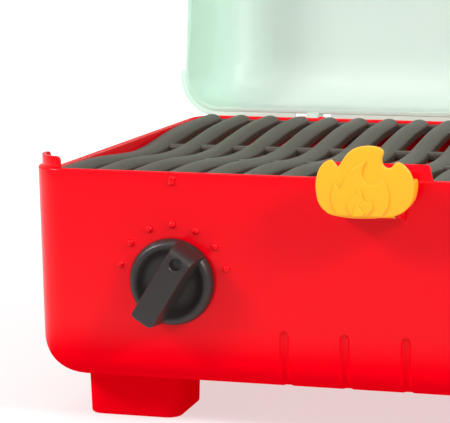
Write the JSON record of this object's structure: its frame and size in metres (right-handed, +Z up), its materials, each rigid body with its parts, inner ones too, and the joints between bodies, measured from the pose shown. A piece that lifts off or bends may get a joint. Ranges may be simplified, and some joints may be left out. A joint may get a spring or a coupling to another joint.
{
  "type": "toy barbecue grill",
  "caption": "Toy tabletop barbecue grill: red tub on feet, dark bar grate, hinged clear mint lid standing open, click-stop dial knob and a flame shaped lid latch",
  "frame": {"origin": "on the floor, under the middle of the box round the whole toy with its lid open", "axes": "X to the right, Y to the back, Z up; the knob and the latch are on the -Y side"},
  "size_m": [0.2998, 0.3218, 0.3251],
  "materials": {
    "red_plastic": "satin moulded, self-coloured",
    "grate_plastic": "satin moulded",
    "mint_plastic": "milky translucent, polished",
    "yellow_plastic": "satin moulded",
    "charcoal_plastic": "satin moulded",
    "white_plastic": "plain moulded, hidden inside",
    "steel": "zinc plated"
  },
  "bodies": {
    "tub": {"body_tub": "red_plastic", "click_spring": "steel", "foot_front_left": "red_plastic", "foot_front_right": "red_plastic", "foot_rear_left": "red_plastic", "foot_rear_right": "red_plastic", "foot_screw_front_left_inner": "steel", "foot_screw_front_left_outer": "steel", "foot_screw_front_right_inner": "steel", "foot_screw_front_right_outer": "steel", "foot_screw_rear_left_inner": "steel", "foot_screw_rear_left_outer": "steel", "foot_screw_rear_right_inner": "steel", "foot_screw_rear_right_outer": "steel", "grate_screw_front_left": "steel", "grate_screw_front_right": "steel", "grate_screw_rear_left": "steel", "grate_screw_rear_right": "steel", "grill_grate": "grate_plastic", "hinge_bracket_left": "red_plastic", "hinge_bracket_right": "red_plastic", "hinge_pin_left": "steel", "hinge_pin_right": "steel", "hinge_screw_left_inner": "steel", "hinge_screw_left_outer": "steel", "hinge_screw_right_inner": "steel", "hinge_screw_right_outer": "steel", "latch_bracket": "red_plastic", "latch_bracket_screw_left": "steel", "latch_bracket_screw_right": "steel", "latch_pin": "steel"},
    "lid": {"lid_shell": "mint_plastic"},
    "latch": {"latch_flame": "yellow_plastic", "latch_lever": "yellow_plastic", "latch_screw_left": "steel", "latch_screw_right": "steel"},
    "knob": {"knob_grip": "charcoal_plastic", "knob_spindle": "white_plastic", "click_wheel": "white_plastic", "spindle_washer": "steel", "spindle_screw": "steel"}
  },
  "joints": [
    {"name": "lid_hinge", "type": "hinge", "parent": "tub", "child": "lid", "pos_m": [0, 0.07839, 0.0977], "axis": [1, 0, 0], "range_deg": [0, 97.6]},
    {"name": "latch_swing", "type": "hinge", "parent": "tub", "child": "latch", "pos_m": [0, -0.15081, 0.0925], "axis": [1, 0, 0], "range_deg": [-6, 70]},
    {"name": "knob_turn", "type": "hinge", "parent": "tub", "child": "knob", "pos_m": [-0.0805, -0.14511, 0.0607], "axis": [0, -1, 0], "range_deg": [-43, 107]}
  ]
}
